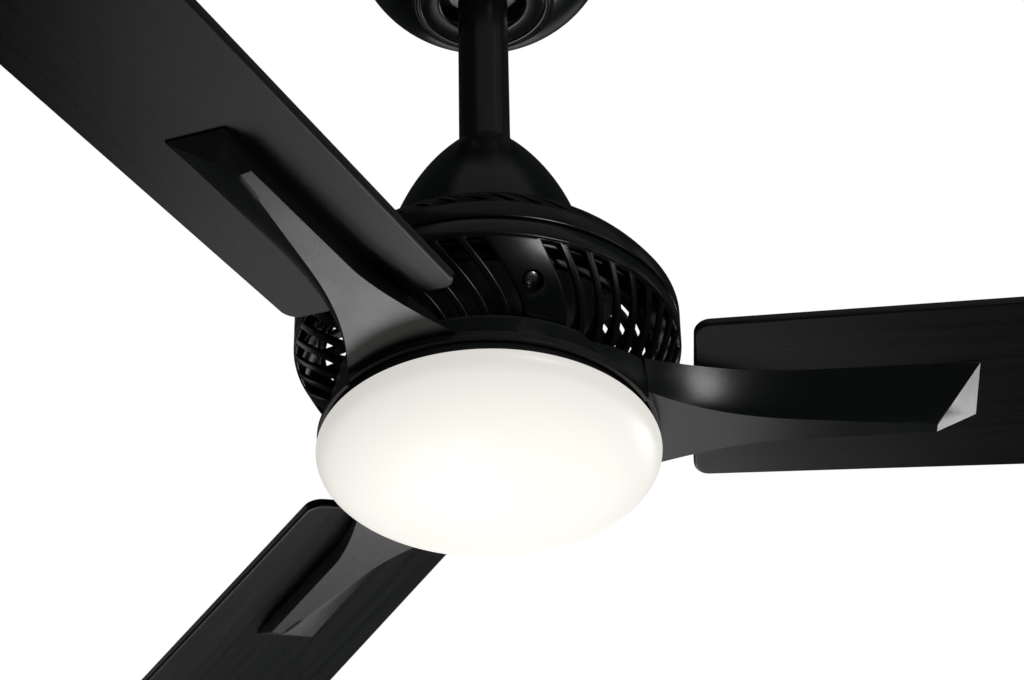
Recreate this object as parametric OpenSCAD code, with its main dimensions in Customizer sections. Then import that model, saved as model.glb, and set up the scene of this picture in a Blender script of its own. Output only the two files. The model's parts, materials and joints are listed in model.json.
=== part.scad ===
// Ceiling fan with three blades and a round light.
// The frame's origin is on the ceiling plane, on the axis of the downrod; +Z is up.
// Every module draws with z = 0 at the rim of the light, and place() hangs it from the ceiling.

/* [Overall] */
// Distance from the ceiling to the rim of the light
rim_drop = 352; // [345:1:370]
// Diameter that the blade tips sweep
sweep_d = 1320; // [1000:10:1500]

/* [Canopy and hanger] */
// Radius of the canopy at the ceiling
canopy_r = 72; // [70:0.5:80]
// Height of the canopy
canopy_h = 57.3; // [56:0.1:60]
// Radius of the flat underside of the canopy
canopy_foot_r = 36.4; // [35:0.1:38]
// Radius of the hole that the downrod hangs through
canopy_hole_r = 22.7; // [22:0.1:24]
// Thickness of the canopy's sheet metal
canopy_wall = 1.2; // [0.8:0.1:1.5]
// Radius of the hanger ball
ball_r = 26; // [25:0.1:26]
// Height of the ball's centre above the light's rim
ball_z = 322; // [320:0.5:324]
// Distance between the two outlet box holes
box_hole_pitch = 88.9; // [82:0.1:96]

/* [Downrod] */
// Outer radius of the downrod
rod_r = 13.35; // [13:0.05:13.4]
// Inner radius of the downrod
rod_bore_r = 11.4; // [10:0.1:12]
// Height of the downrod's lower end
rod_z = 150; // [148:1:152]

/* [Coupling cover] */
// Height of the cover's top edge
cover_top_z = 190.5; // [188:0.5:192]
// Radius of the cover where it sits on the housing
cover_foot_r = 53; // [50:0.5:53.5]
// How far the cover's side bulges from a straight line
cover_bulge = 6.6; // [4:0.1:8]

/* [Motor housing] */
// Height of the band's lower edge
band_z = 57; // [56:0.5:58]
// Height of the groove between the two halves of the band
seam_z = 66; // [65.5:0.1:66.5]
// Height of the band's upper edge
band_top_z = 77; // [76.5:0.5:78]
// Outer radius of the band
band_r = 95.6; // [95:0.1:96]
// Height of the flat top of the housing
shell_top_z = 110.3; // [110:0.1:111]
// Wall thickness of the two cast shells
shell_wall = 2.5; // [2:0.1:3]
// Radius of the opening under the lower shell
shell_mouth_r = 60; // [59.5:0.5:62]
// Number of vents between two screw bosses
vents_per_side = 13; // [9:1:14]
// Share of the vent pitch that is open
vent_open = 0.64; // [0.5:0.01:0.7]
// How far a vent twists around the axis from the band to the mouth
vent_twist = 16; // [10:0.5:18]

/* [Rotor and arms] */
// Azimuth of the first arm
arm_az = -1.6; // [-10:0.1:10]
// Outer radius of the hub ring that the arms form
hub_r = 83; // [82.5:0.1:83.5]
// Height of the hub ring's lower lip
hub_z = 6; // [5.5:0.1:6.5]
// Distance from the axis to the arm's tip
arm_tip_x = 238; // [230:1:240]
// Outer radius of the rotor
rotor_r = 56; // [54:0.5:57]

/* [Blades] */
// Pitch of the blades
blade_pitch = 12.2; // [8:0.1:14]
// Rise of the blades towards the tip
blade_rise = 1.33; // [0:0.01:2]
// Height of the blades' underside on the axis
blade_z = 22; // [21.5:0.1:22.5]
// Thickness of a blade
blade_t = 4.8; // [4:0.1:6]
// Distance from the axis to the blade's root
blade_root_x = 100; // [99.5:0.5:104]
// Width of a blade at the root
blade_root_w = 98.4; // [90:0.1:100]
// Width of a blade at the tip
blade_tip_w = 126; // [110:1:130]

/* [Light] */
// Largest radius of the diffuser
lamp_r = 83.4; // [83:0.1:83.8]
// Radius of the diffuser's upper rim
lamp_rim_r = 80.4; // [79.8:0.1:80.6]
// Depth of the diffuser under its rim
lamp_depth = 24; // [20:0.5:30]

/* [Hidden] */
$fn = 96;
eps = 0.05;

// Canopy: the side is an ellipse whose widest ring lies on the ceiling
canopy_z = rim_drop - canopy_h;
canopy_half_h = canopy_h / sqrt(1 - pow(canopy_foot_r / canopy_r, 2));
lip_w = 2.9;
seat_gap = 0.3;
seat_low_z = ball_z - 16;
seat_top_z = ball_z - 4;
seat_out_r = ball_r + 4;
strap_t = 2.5;
strap_half = 64.5;
strap_w = 22;
canopy_screw_z = 337;

// Shaft and coupling
shaft_r = 8;
shaft_bore_r = 5;
shaft_top_z = 148;
shaft_low_z = 17;
coupling_r = 19;
coupling_top_z = 182.5;
coupling_foot_r = 30;
coupling_bolt_r = 24;
pin_z = 172;
set_screw_z = 160;

// Housing: the angle of each vent and boss follows from their number
vent_pitch = 8.15;
vent_w = vent_pitch * vent_open;
boss_w = 120 - vents_per_side * vent_pitch + (vent_pitch - vent_w);
boss_az = -90.8;
band_in_r = band_r - shell_wall - 0.5;
shell_in_r = 30;
shell_arc_z = 83;
shell_arc_r = 70;
crown_bulge = 4.8;
crown_foot_r = band_r - 0.6;
crown_top_r = 54;
screw_at_r = 84.4;
screw_at_z = 39;
screw_tilt = 60;
screw_az = -75.1;
ledge_in_r = 80;
ledge_low_z = band_z - 4.5;

// Rotor
stator_r = 48;
stator_z = 52;
stator_h = 28;
bell_z = 34;
bell_seam_z = 66;
bell_top_z = 98;
bell_wall = 3;
bearing_r = 15;
bearing_h = 8.5;
hub_sleeve_r = 19;
fly_in_r = 38;
fly_out_r = 58;
fly_z = 17;
arm_bolt_r = 50;
flange_z = 13;
hub_top_z = 24;
hub_top_r = 75.5;
hub_in_r = 80.6;
flange_in_r = 42;
// The three castings meet at this azimuth before each arm, with this gap in degrees
seam_az = -22;
seam_gap = 0.35;

// Arm: the underside is a plane, and its two edges flare towards the hub
under_z0 = 7.2;
under_rise = 0.03;
under_tilt = -0.0115;
facet_len = 20;
arm_in_x = 73;
arm_holes = [[120, 0], [165, 0], [208, 0]];

// Light
pan_r = 79;
pan_wall = 1.5;
pan_top_z = 10;
cup_r = 36;
cup_top_z = 24;
lug_w = 16;
neck_r = 73;
board_r = 60;
lead_r = 2.4;

module place() { translate([0, 0, -rim_drop]) children(); }
module thirds(az) { for (k = [0:2]) rotate([0, 0, az + 120 * k]) children(); }

// A circular arc from p to q bulges to the left of the line by s: its signed radius and centre
function arc_radius(p, q, s) = (pow(norm(q - p), 2) / 4 + s * s) / (2 * s);
function arc_centre(p, q, s) =
    (p + q) / 2 + (arc_radius(p, q, s) - s) * [q[1] - p[1], p[0] - q[0]] / norm(q - p);
function arc_pts(p, q, s, n) =
    let (r = arc_radius(p, q, s), o = arc_centre(p, q, s), d = (p - o) * sign(s),
         a0 = atan2(d[1], d[0]), turn = 2 * asin(norm(q - p) / 2 / r))
    [for (i = [0:n]) o + r * [cos(a0 - turn * i / n), sin(a0 - turn * i / n)]];

module ring(r_out, r_in, z0, z1) {
    translate([0, 0, z0]) difference() {
        cylinder(r = r_out, h = z1 - z0);
        translate([0, 0, -1]) cylinder(r = r_in, h = z1 - z0 + 2);
    }
}
module disc_at(r, z0, z1) { translate([0, 0, z0]) cylinder(r = r, h = z1 - z0); }
// A round-headed screw with its head's seat at z = 0, pointing up
module screw(r, len, head_r, head_h) {
    cylinder(r = r, h = len, $fn = 32);
    translate([0, 0, -head_h]) cylinder(r = head_r, h = head_h, $fn = 32);
}

// ---------- Ceiling side ----------
function canopy_side(inset, z_low) =
    [for (i = [0:20]) let (z = z_low + (canopy_h - (z_low - canopy_z)) * i / 20)
        [canopy_r * sqrt(1 - pow((rim_drop - z) / canopy_half_h, 2)) - inset, z]];

module canopy() {
    floor_t = 1.5;
    place() color("#1b1d1d") difference() {
        rotate_extrude() polygon(concat(
            canopy_side(0, canopy_z), [[canopy_r - canopy_wall, rim_drop]],
            [for (i = [20:-1:0]) canopy_side(canopy_wall, canopy_z + floor_t)[i]],
            [[canopy_foot_r - lip_w, canopy_z + floor_t], [canopy_foot_r - lip_w, canopy_z]]));
        for (s = [0, 180]) rotate([0, 0, s]) translate([0, 0, canopy_screw_z])
            rotate([0, 90, 0]) cylinder(r = 2.1, h = canopy_r + 1, $fn = 32);
    }
}
module canopy_screws() {
    place() color("#2a2c2c") for (s = [0, 180]) rotate([0, 0, s])
        translate([canopy_r - 0.9, 0, canopy_screw_z]) rotate([0, -90, 0])
            screw(1.9, 11, 3.6, 1.8);
}
module canopy_plate() {
    place() color("#1b1d1d") union() {
        ring(canopy_foot_r - lip_w - 0.1, canopy_hole_r, canopy_z + 0.2, canopy_z + 2);
        ring(canopy_foot_r + 1, canopy_hole_r, canopy_z + 1.55, canopy_z + 2.5);
    }
}
module hanger_bracket() {
    tab_z = canopy_screw_z - 8;
    place() color("#a9adab") difference() {
        union() {
            translate([-strap_half, -strap_w / 2, rim_drop - strap_t])
                cube([2 * strap_half, strap_w, strap_t]);
            for (s = [0, 180]) rotate([0, 0, s]) {
                translate([strap_half - strap_t, -strap_w / 2, tab_z])
                    cube([strap_t, strap_w, rim_drop - tab_z]);
                translate([seat_out_r - 3, -strap_w / 2, seat_low_z])
                    cube([3, strap_w, rim_drop - seat_low_z]);
            }
            ring(seat_out_r, ball_r - 8, seat_low_z, seat_top_z);
        }
        translate([0, 0, ball_z]) sphere(r = ball_r + seat_gap);
        disc_at(canopy_hole_r - 2, seat_low_z - 1, seat_low_z + 2);
        for (s = [-1, 1]) translate([s * box_hole_pitch / 2, 0, rim_drop - strap_t - 1])
            cylinder(r = 2.5, h = strap_t + 2, $fn = 32);
        for (s = [0, 180]) rotate([0, 0, s]) translate([strap_half - 5, 0, canopy_screw_z])
            rotate([0, 90, 0]) cylinder(r = 1.95, h = 8, $fn = 32);
    }
}

// ---------- Hanging parts ----------
module hanger_ball() {
    place() color("#d9d7cf") difference() {
        intersection() {
            translate([0, 0, ball_z]) sphere(r = ball_r);
            disc_at(ball_r + 1, ball_z - 17, ball_z + 15);
        }
        disc_at(rod_r + 0.02, ball_z - 20, ball_z + 20);
        translate([0, 0, ball_z]) rotate([0, 90, 0])
            cylinder(r = 3.05, h = 2 * ball_r, center = true, $fn = 32);
        translate([0, 0, ball_z + 9]) rotate([90, 0, 0]) cylinder(r = 2.55, h = ball_r, $fn = 32);
    }
}
module ball_pin() {
    place() color("#b9bcba") translate([0, 0, ball_z]) rotate([0, 90, 0])
        cylinder(r = 3, h = 2 * ball_r - 2, center = true, $fn = 32);
}
module ball_set_screw() {
    place() color("#b9bcba") translate([0, -rod_r, ball_z + 9]) rotate([90, 0, 0])
        cylinder(r = 2.5, h = 9, $fn = 32);
}
module downrod() {
    place() color("#17191a") difference() {
        disc_at(rod_r, rod_z, ball_z + 14);
        disc_at(rod_bore_r, rod_z - 1, ball_z + 16);
        translate([0, 0, ball_z]) rotate([0, 90, 0])
            cylinder(r = 3.05, h = 4 * rod_r, center = true, $fn = 32);
        translate([0, 0, pin_z]) rotate([90, 0, 0])
            cylinder(r = 3.2, h = 4 * rod_r, center = true, $fn = 32);
    }
}
module coupling() {
    place() color("#8f9492") difference() {
        union() {
            disc_at(coupling_r, shell_top_z, coupling_top_z);
            disc_at(coupling_foot_r, shell_top_z, shell_top_z + 4);
        }
        disc_at(rod_r + 0.05, rod_z, coupling_top_z + 1);
        disc_at(shaft_r + 0.02, shell_top_z - 1, shaft_top_z + 0.5);
        disc_at(shaft_bore_r, shaft_top_z, rod_z + 1);
        translate([0, 0, pin_z]) rotate([90, 0, 0])
            cylinder(r = 3.2, h = 4 * coupling_r, center = true, $fn = 32);
        translate([0, 0, set_screw_z]) rotate([0, 90, 0])
            cylinder(r = 3.05, h = 4 * coupling_r, center = true, $fn = 32);
        thirds(30) translate([coupling_bolt_r, 0, shell_top_z - 1])
            cylinder(r = 2.3, h = 6, $fn = 32);
    }
}
module clevis_pin() {
    place() color("#b9bcba") difference() {
        translate([0, 0, pin_z]) rotate([90, 0, 0]) union() {
            cylinder(r = 3.1, h = 48, center = true, $fn = 32);
            translate([0, 0, coupling_r + 0.2]) cylinder(r = 5, h = 2, $fn = 32);
        }
        translate([0, coupling_r + 2.5, pin_z - 5]) cylinder(r = 1, h = 10, $fn = 24);
    }
}
module cotter_pin() {
    eye_r = 2.2;
    wire_r = 0.9;
    place() color("#c9cbc9") translate([0, coupling_r + 2.5, pin_z]) union() {
        translate([0, 0, -6]) cylinder(r = wire_r, h = 11, $fn = 24);
        translate([0, 0, -6 - eye_r]) rotate([90, 0, 0])
            rotate_extrude() translate([eye_r, 0]) circle(r = wire_r, $fn = 24);
    }
}
module coupling_set_screws() {
    place() color("#55595a") for (s = [0, 180]) rotate([0, 0, s])
        translate([rod_r + 0.05, 0, set_screw_z]) rotate([0, 90, 0])
            cylinder(r = 3, h = 8, $fn = 32);
}
module coupling_screws() {
    place() color("#b9bcba") thirds(30)
        translate([coupling_bolt_r, 0, shell_top_z + 4]) rotate([180, 0, 0])
            screw(2.2, 11, 4, 2.6);
}
module coupling_cover() {
    foot = [cover_foot_r, shell_top_z];
    head = [rod_r + 3.1, cover_top_z - 1];
    t = 1.4;
    place() color("#1b1d1d") rotate_extrude() polygon(concat(
        arc_pts(head, foot, cover_bulge, 24),
        arc_pts(foot - [t, 0], head - [t, 1.2], -cover_bulge, 24),
        [[rod_r + 0.5, cover_top_z - 2.2], [rod_r + 0.5, cover_top_z],
         [rod_r + 2.3, cover_top_z]]));
}
module motor_shaft() {
    place() color("#c4c7c5") difference() {
        disc_at(shaft_r, shaft_low_z, shaft_top_z);
        disc_at(shaft_bore_r, shaft_low_z - 1, shaft_top_z + 1);
    }
}
module mount_plate() {
    place() color("#9ea3a1") difference() {
        disc_at(45, 103, 107);
        disc_at(shaft_r + 0.02, 102, 108);
        thirds(30) translate([coupling_bolt_r, 0, 102]) cylinder(r = 2.25, h = 6, $fn = 32);
    }
}

// ---------- Housing ----------
// Half sections of the two shells; the curved walls are true arcs
module low_skin(r_out, r_in) {
    intersection() {
        translate([shell_in_r, shell_arc_z]) difference() {
            circle(r = r_out);
            circle(r = r_in);
        }
        translate([shell_mouth_r, 0]) square([band_r - shell_mouth_r, band_z]);
    }
}
module crown_skin() {
    top = [crown_top_r, shell_top_z];
    edge = [crown_foot_r, band_top_z];
    intersection() {
        translate(arc_centre(top, edge, crown_bulge)) difference() {
            circle(r = arc_radius(top, edge, crown_bulge));
            circle(r = arc_radius(top, edge, crown_bulge) - shell_wall);
        }
        translate([crown_top_r, band_top_z]) square([band_r, shell_top_z - band_top_z]);
    }
}
// Azimuth of a vent's edge against the band's, at radius r
function twist_at(r) = vent_twist * (1 - pow(max(0, (r - 66) / 28.5), 1.8));

module vent(az, w, r0, r1) {
    steps = 3;
    polygon([for (i = [0:2 * steps + 1])
        let (k = i <= steps ? i : 2 * steps + 1 - i, r = r0 + (r1 - r0) * k / steps,
             a = az + twist_at(r) + (i <= steps ? w : 0))
        r * [cos(a), sin(a)]]);
}
module vents(r0, r1) {
    for (k = [0:2], j = [0:vents_per_side - 1])
        vent(boss_az + boss_w + 120 * k + vent_pitch * j, vent_w, r0, r1);
}
// Moves a shape to one of the housing screws, with z = 0 on the shell and +z into it
module at_screw() {
    thirds(screw_az) translate([screw_at_r, 0, screw_at_z])
        rotate([0, screw_tilt - 90, 0]) children();
}
module lower_housing() {
    pocket_deep = 5;
    place() color("#191b1c") difference() {
        union() {
            rotate_extrude() union() {
                low_skin(shell_arc_r, shell_arc_r - shell_wall);
                polygon([[band_in_r, band_z - eps], [band_r - 0.7, band_z - eps],
                    [band_r, band_z + 0.6], [band_r, seam_z - 0.5], [band_r - 0.5, seam_z],
                    [band_in_r, seam_z]]);
            }
            intersection() {
                at_screw() translate([0, 0, -4]) cylinder(r = 7.4, h = 12, $fn = 48);
                rotate_extrude() low_skin(shell_arc_r - 0.3, shell_arc_r - 12);
            }
        }
        translate([0, 0, 10]) linear_extrude(height = band_z - 2.2 - 10) vents(66.5, 94.2);
        at_screw() translate([0, 0, -20]) cylinder(r = 5.3, h = 20 + pocket_deep, $fn = 48);
        at_screw() cylinder(r = 2.2, h = 20, $fn = 32);
    }
}
module upper_housing() {
    spigot_r = band_in_r - 0.1;
    place() color("#191b1c") difference() {
        union() {
            rotate_extrude() union() {
                crown_skin();
                translate([shaft_r + 0.3, shell_top_z - 3.3])
                    square([crown_top_r - shaft_r - 0.2, 3.3]);
                polygon([[crown_foot_r, band_top_z], [band_r, band_top_z - 1.2],
                    [band_r, seam_z + 1.7], [band_r - 2.4, seam_z + 1.3],
                    [band_r - 2.4, seam_z], [spigot_r, seam_z], [spigot_r, band_z + 1],
                    [spigot_r - 1.5, band_z - 1.5], [84, band_z - 1.5], [83, ledge_low_z],
                    [ledge_in_r + 0.6, ledge_low_z], [ledge_in_r, ledge_low_z + 0.6],
                    [ledge_in_r, band_z + 0.8], [spigot_r - 2.5, band_z + 0.8],
                    [spigot_r - 2.5, band_top_z + eps], [crown_foot_r, band_top_z + eps]]);
            }
            at_screw() translate([0, 0, 8.1]) cylinder(r = 5, h = 12, $fn = 48);
            thirds(screw_az) translate([70, -7, band_z - 3.5]) cube([12, 14, 3.8]);
        }
        translate([0, 0, band_top_z - 0.8]) linear_extrude(height = shell_top_z - band_top_z)
            mirror([0, 1]) vents(64, 93.8);
        at_screw() cylinder(r = 1.85, h = 24, $fn = 32);
        thirds(30) translate([coupling_bolt_r, 0, shell_top_z - 6])
            cylinder(r = 2.3, h = 8, $fn = 32);
    }
}
module housing_screws() {
    place() color("#8d9190") at_screw() translate([0, 0, 5]) difference() {
        screw(1.8, 14, 3.6, 2.4);
        for (a = [0, 90]) rotate([0, 0, a]) translate([-2.2, -0.5, -3]) cube([4.4, 1, 1.8]);
    }
}

// ---------- Motor ----------
module stator_core() {
    slots = 18;
    place() color("#7d8180") translate([0, 0, stator_z]) difference() {
        cylinder(r = stator_r, h = stator_h);
        translate([0, 0, -1]) cylinder(r = shaft_r + 0.02, h = stator_h + 2);
        for (k = [0:slots - 1]) rotate([0, 0, 360 / slots * k])
            translate([26, -3, -1]) cube([17, 6, stator_h + 2]);
    }
}
module stator_windings() {
    place() color("#b56a34") union() {
        ring(44, 27, stator_z - 5, stator_z - 0.05);
        ring(44, 27, stator_z + stator_h + 0.05, stator_z + stator_h + 5);
    }
}
module bearing(z) {
    ring(bearing_r, shaft_r + 0.04, z, z + bearing_h);
}
module bearing_lower() { place() color("#cfd2d0") bearing(bell_z + 2); }
module bearing_upper() { place() color("#cfd2d0") bearing(bell_top_z - 2 - bearing_h); }
module rotor_lower_bell() {
    place() color("#1b1d1e") difference() {
        union() {
            ring(rotor_r, rotor_r - bell_wall, bell_z, bell_seam_z);
            disc_at(rotor_r - 1, bell_z, bell_z + 2.5);
            disc_at(hub_sleeve_r, bell_z, bell_z + 2 + bearing_h);
        }
        disc_at(bearing_r + 0.02, bell_z + 2, bell_z + 20);
        disc_at(shaft_r + 2, bell_z - 1, bell_z + 20);
        for (k = [0:3]) rotate([0, 0, 45 + 90 * k]) translate([44, 0, bell_z - 1])
            cylinder(r = 2.05, h = 5, $fn = 32);
    }
}
module rotor_upper_bell() {
    place() color("#1b1d1e") difference() {
        union() {
            ring(rotor_r, rotor_r - bell_wall, bell_seam_z, bell_top_z);
            disc_at(rotor_r - 1, bell_top_z - 2.5, bell_top_z);
            disc_at(hub_sleeve_r, bell_top_z - 2 - bearing_h, bell_top_z);
        }
        disc_at(bearing_r + 0.02, bell_top_z - 20, bell_top_z - 2);
        disc_at(shaft_r + 2, bell_top_z - 20, bell_top_z + 1);
    }
}
module rotor_magnets() {
    poles = 16;
    gap = 2;
    r_out = rotor_r - bell_wall - 0.02;
    place() color("#4b4f50") for (k = [0:poles - 1])
        rotate([0, 0, 360 / poles * k]) translate([0, 0, stator_z - 1])
            rotate_extrude(angle = 360 / poles - gap)
                translate([stator_r + 1.2, 0]) square([r_out - stator_r - 1.2, stator_h + 2]);
}
module flywheel() {
    place() color("#8c9190") difference() {
        union() {
            disc_at(fly_out_r, fly_z, fly_z + 5);
            disc_at(fly_out_r - 8, fly_z, bell_z);
        }
        disc_at(fly_in_r, fly_z - 1, bell_z + 1);
        arm_bolts() translate([0, 0, fly_z - 1]) cylinder(r = 2.3, h = 13, $fn = 32);
        for (k = [0:3]) rotate([0, 0, 45 + 90 * k]) translate([44, 0, fly_z - 1]) {
            cylinder(r = 2.3, h = 30, $fn = 32);
            cylinder(r = 4.2, h = 9, $fn = 32);
        }
    }
}
module flywheel_screws() {
    place() color("#b9bcba") for (k = [0:3]) rotate([0, 0, 45 + 90 * k])
        translate([44, 0, fly_z + 7.95]) screw(2, 11, 4, 2.6);
}

// ---------- Arms and blades ----------
// Moves a shape to the six bolts that hold the arms' flanges, two on each side of a seam
module arm_bolts() {
    for (k = [0:5]) rotate([0, 0, arm_az + 60 * k - seam_az]) translate([arm_bolt_r, 0]) children();
}
// Moves a shape from a blade's own frame (x outwards, z = 0 on its underside) to arm k
module at_blade(k) {
    rotate([0, 0, arm_az + 120 * k]) translate([0, 0, blade_z])
        rotate([0, -blade_rise, 0]) rotate([-blade_pitch, 0, 0]) children();
}
// Height of the blade's underside over the point (r, t) beside the arm's centre line
function over_z(r, t) = blade_z
    + (sin(blade_rise) * cos(blade_pitch) * r - sin(blade_pitch) * t)
        / (cos(blade_rise) * cos(blade_pitch)) - eps;
function under_z(r, t) = under_z0 + under_rise * r + under_tilt * t;
// Sideways places of the arm's edges at distance r: foot on the blade, crest, and far edge
function foot_t(r) = -17.3 - 0.0031 * pow(max(0, 155 - r), 1.9);
function crest_t(r) = 9.6 - 0.157 * (arm_tip_x - facet_len - r)
    - 0.00036 * pow(max(0, 155 - r), 2.48);
function far_t(r) = 15.3 + 0.0268 * pow(max(0, 140 - r), 1.53);
function arm_section(r) =
    let (a = foot_t(r), b = crest_t(r), c = far_t(r), h = (over_z(r, a) - under_z(r, b)))
    [[r, a, over_z(r, a)],
     [r, a + (b - a) * 0.55, under_z(r, b) + h * 0.22],
     [r, b, under_z(r, b)],
     [r, c, under_z(r, c)],
     [r, c, over_z(r, c)]];
module arm_body() {
    n = 5;
    facet_x = arm_tip_x - facet_len;
    tip_edge = 0.8;
    stations = [for (i = [0:14]) arm_in_x + (facet_x - arm_in_x) * pow(i / 14, 1.3)];
    tip = [for (p = arm_section(facet_x)) [arm_tip_x, p[1], over_z(arm_tip_x, p[1])]];
    low = [0, 0, -tip_edge];
    pts = concat([for (r = stations) each arm_section(r)],
        [tip[0], tip[1] + low, tip[2] + low, tip[3] + low, tip[4]]);
    m = len(stations);
    polyhedron(points = pts, faces = concat(
        [[for (j = [0:n - 1]) j]],
        [for (i = [0:m - 1], j = [0:n - 1])
            let (a = i * n + j, b = i * n + (j + 1) % n) [a, a + n, b + n, b]],
        [[for (j = [n - 1:-1:0]) m * n + j]]), convexity = 4);
}
module hub_segment() {
    rotate([0, 0, seam_az + seam_gap]) rotate_extrude(angle = 120 - seam_gap)
        polygon([[flange_in_r, flange_z], [hub_in_r - 2.1, flange_z], [hub_in_r, flange_z - 2],
            [hub_in_r, hub_z],
            [hub_r, hub_z], [hub_r, hub_z + 3.6], [hub_top_r + 4.2, hub_z + 10],
            [hub_top_r, hub_top_z], [hub_top_r - 3.5, hub_top_z], [hub_top_r - 5.5, fly_z],
            [flange_in_r, fly_z]]);
}
module blade_arm(k) {
    place() color("#2b2e2e") difference() {
        rotate([0, 0, arm_az + 120 * k]) union() {
            difference() {
                arm_body();
                disc_at(hub_in_r + 0.9, 0, flange_z + 0.6);
                rotate([0, 0, seam_az + 2 * seam_gap]) translate([0, -60, -1]) cube([120, 60, 60]);
            }
            hub_segment();
        }
        arm_bolts() translate([0, 0, flange_z - 1]) cylinder(r = 2.3, h = 6, $fn = 32);
        at_blade(k) for (h = arm_holes) translate([h[0], h[1], -7])
            cylinder(r = 2.05, h = 8, $fn = 32);
    }
}
module blade_arm_1() { blade_arm(0); }
module blade_arm_2() { blade_arm(1); }
module blade_arm_3() { blade_arm(2); }
module arm_screws() {
    place() color("#2a2c2c") arm_bolts() translate([0, 0, flange_z]) screw(2.2, 15, 4, 2);
}
// A quarter circle that starts at angle a0
function corner(cx, cy, r, a0) =
    [for (i = [0:8]) let (a = a0 + 90 * i / 8) [cx, cy] + r * [cos(a), sin(a)]];
module blade(k) {
    root_c = 8;
    tip_c = 22;
    x0 = blade_root_x + root_c;
    x1 = sweep_d / 2 - tip_c - 3;
    y0 = blade_root_w / 2 - root_c;
    y1 = blade_tip_w / 2 - tip_c;
    shift = -0.7;
    place() color("#232626") at_blade(k) difference() {
        linear_extrude(height = blade_t) polygon(concat(
            corner(x1, y1 + shift, tip_c, 0), corner(x0, y0 + shift, root_c, 90),
            corner(x0, -y0 + shift, root_c, 180), corner(x1, -y1 + shift, tip_c, 270)));
        for (h = arm_holes) translate([h[0], h[1], -1]) cylinder(r = 2.6, h = 8, $fn = 32);
    }
}
module blade_1() { blade(0); }
module blade_2() { blade(1); }
module blade_3() { blade(2); }
module blade_screws() {
    place() color("#2a2c2c") for (k = [0:2]) at_blade(k) for (h = arm_holes)
        translate([h[0], h[1], blade_t]) rotate([180, 0, 0]) screw(2, 11, 4.4, 1.8);
}

// ---------- Light ----------
// The leads run down the rod beside its two cross pins, then through the hollow shaft
module lead_bundle() {
    beside = [6.1, 6.1];
    turn_z = 166;
    place() color("#7a3b34") union() {
        disc_at(lead_r, cup_top_z - 9, rod_z + 0.5);
        hull() {
            translate([0, 0, rod_z]) sphere(r = lead_r, $fn = 32);
            translate([beside[0], beside[1], turn_z]) sphere(r = lead_r, $fn = 32);
        }
        translate(beside) disc_at(lead_r, turn_z - 0.5, ball_z + 24);
    }
}
// Moves a shape to one of the three screws that hold the LED board, 5 mm under the pan's top
module board_screws() { thirds(30) translate([50, 0, pan_top_z - 5]) children(); }
module light_pan() {
    place() color("#151717") union() {
        difference() {
            union() {
                ring(pan_r, pan_r - pan_wall, 0.6, pan_top_z);
                ring(pan_r - 1, cup_r - pan_wall, pan_top_z - pan_wall, pan_top_z);
                ring(cup_r, cup_r - pan_wall, pan_top_z - pan_wall, cup_top_z);
                disc_at(cup_r - 1, cup_top_z - pan_wall, cup_top_z);
            }
            disc_at(shaft_r + 0.05, cup_top_z - 4, cup_top_z + 1);
            board_screws() cylinder(r = 1.55, h = 8, $fn = 32);
        }
        thirds(0) rotate([0, 0, -lug_w / 2]) rotate_extrude(angle = lug_w)
            translate([neck_r + 0.6, 1.2]) square([pan_r - pan_wall - neck_r - 0.3, 1.6]);
    }
}
module shaft_nut() {
    place() color("#b9bcba") difference() {
        translate([0, 0, cup_top_z - pan_wall - 5]) cylinder(r = 12, h = 5, $fn = 6);
        disc_at(shaft_r + 0.02, cup_top_z - 12, cup_top_z);
    }
}
module led_driver() {
    place() color("#e4e2da") translate([13.5, -14, pan_top_z + 1]) cube([17, 28, 10]);
}
module led_board() {
    place() color("#f2f2ee") difference() {
        disc_at(board_r, pan_top_z - pan_wall - 1.6, pan_top_z - pan_wall);
        disc_at(6, pan_top_z - 10, pan_top_z);
        board_screws() cylinder(r = 1.6, h = 8, $fn = 32);
    }
}
module leds() {
    place() color("#f6e3a0") for (ring_r = [18, 36, 54]) for (k = [0:ring_r / 3 - 1])
        rotate([0, 0, 1080 / ring_r * k]) translate([ring_r - 1.5, -1.5, pan_top_z - pan_wall - 2.4])
            cube([3, 3, 0.75]);
}
module led_board_screws() {
    place() color("#c9cbc9") board_screws()
        translate([0, 0, 5 - pan_wall - 1.65]) screw(1.5, 3, 2.6, 1.4);
}
function lamp_side(inset) =
    let (mid = -3, h = lamp_depth + mid - inset, r = lamp_r - inset)
    [for (i = [0:20]) let (a = 90 * i / 20) [r * cos(a), mid - h * sin(a)]];
module diffuser() {
    t = 2.2;
    inner = lamp_side(t);
    place() color("#f7f5ee") union() {
        rotate_extrude() polygon(concat(
            [[neck_r - t, 4.8], [neck_r, 4.8], [neck_r, 0.3], [neck_r + 0.1, 0],
             [lamp_rim_r, 0], [lamp_rim_r + 2, -0.8]],
            lamp_side(0), [for (i = [20:-1:0]) inner[i]],
            [[lamp_r - t - 1, -t], [neck_r - t, -t]]));
        thirds(0) rotate([0, 0, -lug_w / 2]) rotate_extrude(angle = lug_w)
            translate([neck_r - 0.5, 3.2]) square([3.8, 1.6]);
    }
}

hanger_bracket();
canopy();
canopy_screws();
canopy_plate();
hanger_ball();
ball_pin();
ball_set_screw();
downrod();
coupling();
clevis_pin();
cotter_pin();
coupling_set_screws();
coupling_screws();
coupling_cover();
motor_shaft();
mount_plate();
upper_housing();
lower_housing();
housing_screws();
stator_core();
stator_windings();
bearing_upper();
bearing_lower();
rotor_upper_bell();
rotor_lower_bell();
rotor_magnets();
flywheel();
flywheel_screws();
blade_arm_1();
blade_arm_2();
blade_arm_3();
arm_screws();
blade_1();
blade_2();
blade_3();
blade_screws();
light_pan();
shaft_nut();
led_driver();
led_board();
leds();
led_board_screws();
diffuser();
lead_bundle();
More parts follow.
